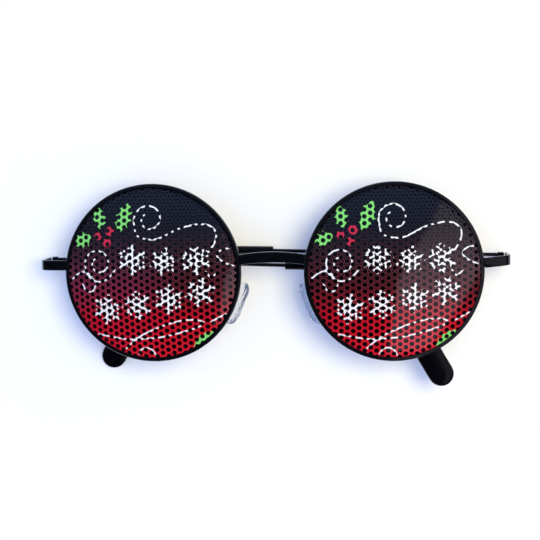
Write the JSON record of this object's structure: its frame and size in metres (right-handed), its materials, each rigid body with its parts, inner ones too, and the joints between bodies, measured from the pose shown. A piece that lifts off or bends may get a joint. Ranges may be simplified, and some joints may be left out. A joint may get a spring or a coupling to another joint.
{
  "type": "round sunglasses",
  "caption": "Round metal-rimmed sunglasses lying folded with the lenses up; perforated printed films cover the lenses, and the wire temples swing open on their hinges.",
  "frame": {"origin": "middle of the outline of the folded glasses, on the surface they lie on", "axes": "+X towards the viewer's right along the face, +Y towards the top of the lenses, +Z out through the lens fronts, away from the face"},
  "size_m": [0.1408, 0.0616, 0.0217],
  "materials": {
    "black_paint": "gloss black paint",
    "black_sleeve": "gloss black sleeve",
    "dark_lens": "polished, near black",
    "printed_film": "printed film, dark blue at the top through plum to red, perforated with round holes",
    "screw_steel": "turned, bare",
    "clear_pad": "clear, slightly soft"
  },
  "bodies": {
    "front": {"bridge": "black_paint", "rim_left": "black_paint", "lens_left": "dark_lens", "film_left": "printed_film", "end_piece_left": "black_paint", "upper_block_left": "black_paint", "lower_block_left": "black_paint", "rim_screw_left": "screw_steel", "front_hinge_left": "black_paint", "pad_arm_left": "black_paint", "pad_box_left": "screw_steel", "pad_screw_left": "screw_steel", "rim_right": "black_paint", "lens_right": "dark_lens", "film_right": "printed_film", "end_piece_right": "black_paint", "upper_block_right": "black_paint", "lower_block_right": "black_paint", "rim_screw_right": "screw_steel", "front_hinge_right": "black_paint", "pad_arm_right": "black_paint", "pad_box_right": "screw_steel", "pad_screw_right": "screw_steel"},
    "temple_left_body": {"temple_hinge_left": "black_paint", "hinge_screw_left": "black_paint", "temple_wire_left": "black_paint", "temple_tip_left": "black_sleeve"},
    "pad_left_body": {"nose_pad_left": "clear_pad"},
    "temple_right_body": {"temple_hinge_right": "black_paint", "hinge_screw_right": "black_paint", "temple_wire_right": "black_paint", "temple_tip_right": "black_sleeve"},
    "pad_right_body": {"nose_pad_right": "clear_pad"}
  },
  "joints": [
    {"name": "right_temple_hinge", "type": "hinge", "parent": "front", "child": "temple_right_body", "pos_m": [0.06836, 0.00669, 0.00416], "axis": [-0.0236, -0.9997, 0], "range_deg": [0, 96]},
    {"name": "left_temple_hinge", "type": "hinge", "parent": "front", "child": "temple_left_body", "pos_m": [-0.06836, 0.00617, 0.00416], "axis": [0.0236, 0.9997, 0], "range_deg": [0, 96]},
    {"name": "left_pad_rock", "type": "hinge", "parent": "front", "child": "pad_left_body", "pos_m": [-0.01337, -0.00503, 0.01104], "axis": [0.4494, -0.2192, 0.866], "range_deg": [-8, 8]},
    {"name": "right_pad_rock", "type": "hinge", "parent": "front", "child": "pad_right_body", "pos_m": [0.01337, -0.00503, 0.01104], "axis": [-0.4494, -0.2192, 0.866], "range_deg": [-8, 8]}
  ],
  "couplings": [
    {"joint": "left_temple_hinge", "follows": "right_temple_hinge", "ratio": 0.98542}
  ]
}
